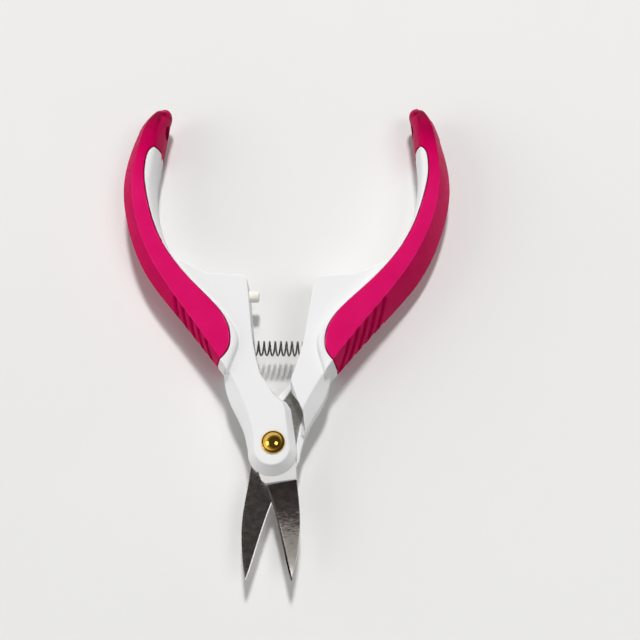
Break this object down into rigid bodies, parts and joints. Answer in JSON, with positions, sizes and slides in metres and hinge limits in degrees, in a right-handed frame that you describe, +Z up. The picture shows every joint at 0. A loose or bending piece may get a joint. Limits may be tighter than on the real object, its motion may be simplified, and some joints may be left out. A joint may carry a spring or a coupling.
{
  "type": "spring-loaded pointed snips",
  "caption": "Spring-loaded hand snips with short crossing pointed blades, curved two-material handles, a domed pivot rivet and a coil return spring, lying open.",
  "frame": {"origin": "middle of the footprint, on the surface that the open snips lie on", "axes": "+Y from the blade points to the handle tips, +Z up out of the surface along the rivet, +X to the right with the blades toward the viewer"},
  "size_m": [0.0874, 0.1286, 0.0125],
  "materials": {
    "white_plastic": "glossy white moulding",
    "magenta_grip": "satin magenta soft grip",
    "blade_steel": "cross-ground steel",
    "gilt_brass": "polished gold-coloured plating",
    "bush_steel": "plain turned steel",
    "spring_steel": "drawn spring wire",
    "cream_plastic": "plain cream plastic"
  },
  "bodies": {
    "lower_half": {"lower_body": "white_plastic", "lower_grip": "magenta_grip", "lower_blade": "blade_steel", "rivet_post": "gilt_brass", "rivet_cap": "gilt_brass", "upper_washer": "gilt_brass", "lower_washer": "gilt_brass", "pivot_bush": "bush_steel", "return_spring": "spring_steel"},
    "upper_half": {"upper_body": "white_plastic", "upper_grip": "magenta_grip", "upper_blade": "blade_steel", "closing_stop": "cream_plastic"}
  },
  "joints": [
    {"name": "pivot", "type": "hinge", "parent": "lower_half", "child": "upper_half", "pos_m": [0, -0.0326, 0.00625], "axis": [0, 0, 1], "range_deg": [-19.2, 0], "stiffness_Nm_per_rad": 0.6, "springref_deg": 2.86, "deforming": ["return_spring"]}
  ]
}
